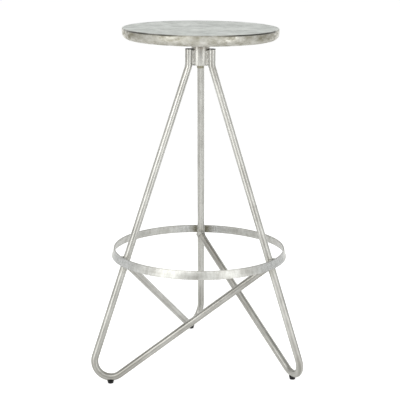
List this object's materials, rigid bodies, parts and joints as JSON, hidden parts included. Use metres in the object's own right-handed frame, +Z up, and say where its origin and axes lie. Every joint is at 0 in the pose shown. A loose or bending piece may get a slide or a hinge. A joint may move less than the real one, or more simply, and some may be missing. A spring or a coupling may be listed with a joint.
{
  "type": "bar stool",
  "caption": "Backless tripod bar stool in galvanised steel: round swivel seat, bent tube legs that turn at the floor and climb back as braces, flat band foot ring.",
  "frame": {"origin": "on the seat's swivel axis at floor level, in the plane of the three glide soles", "axes": "+Z up along the swivel axis; -Y is the front, where two legs stand forward; +X to the right"},
  "size_m": [0.463, 0.4608, 0.762],
  "materials": {
    "galvanised_tube": "hot-dip zinc, satin with streaks along the tube",
    "galvanised_band": "hot-dip zinc, satin with mottle and fine scratches",
    "galvanised_sheet": "galvanised sheet, matte mottled top and warmer rim",
    "galvanised_hub": "hot-dip zinc, satin",
    "weld_zinc": "lumpy weld beads under zinc",
    "turned_steel": "turned and zinc plated steel",
    "plated_fastener": "bright zinc plating",
    "plywood": "clear-sealed birch plywood",
    "black_plastic": "moulded black polyethylene",
    "black_nylon": "turned black nylon"
  },
  "bodies": {
    "frame": {"leg_front_left": "galvanised_tube", "leg_front_right": "galvanised_tube", "leg_rear": "galvanised_tube", "foot_ring": "galvanised_band", "hub_sleeve": "galvanised_hub", "hub_base_disc": "galvanised_hub", "hub_welds": "weld_zinc", "ring_welds": "weld_zinc", "brace_welds": "weld_zinc", "tube_plug_front_left": "black_plastic", "tube_plug_front_right": "black_plastic", "tube_plug_rear": "black_plastic", "glide_front_left": "black_plastic", "glide_front_right": "black_plastic", "glide_rear": "black_plastic", "upper_bush": "black_nylon", "lower_bush": "black_nylon", "thrust_washer": "black_nylon"},
    "seat": {"seat_shell": "galvanised_sheet", "seat_core": "plywood", "seat_plate": "turned_steel", "seat_plate_screws": "plated_fastener", "seat_post": "turned_steel", "post_weld": "weld_zinc", "retaining_washer": "plated_fastener", "retaining_bolt": "plated_fastener"}
  },
  "joints": [
    {"name": "seat_swivel", "type": "hinge", "parent": "frame", "child": "seat", "pos_m": [0, 0, 0.728], "axis": [0, 0, 1], "continuous": true}
  ]
}
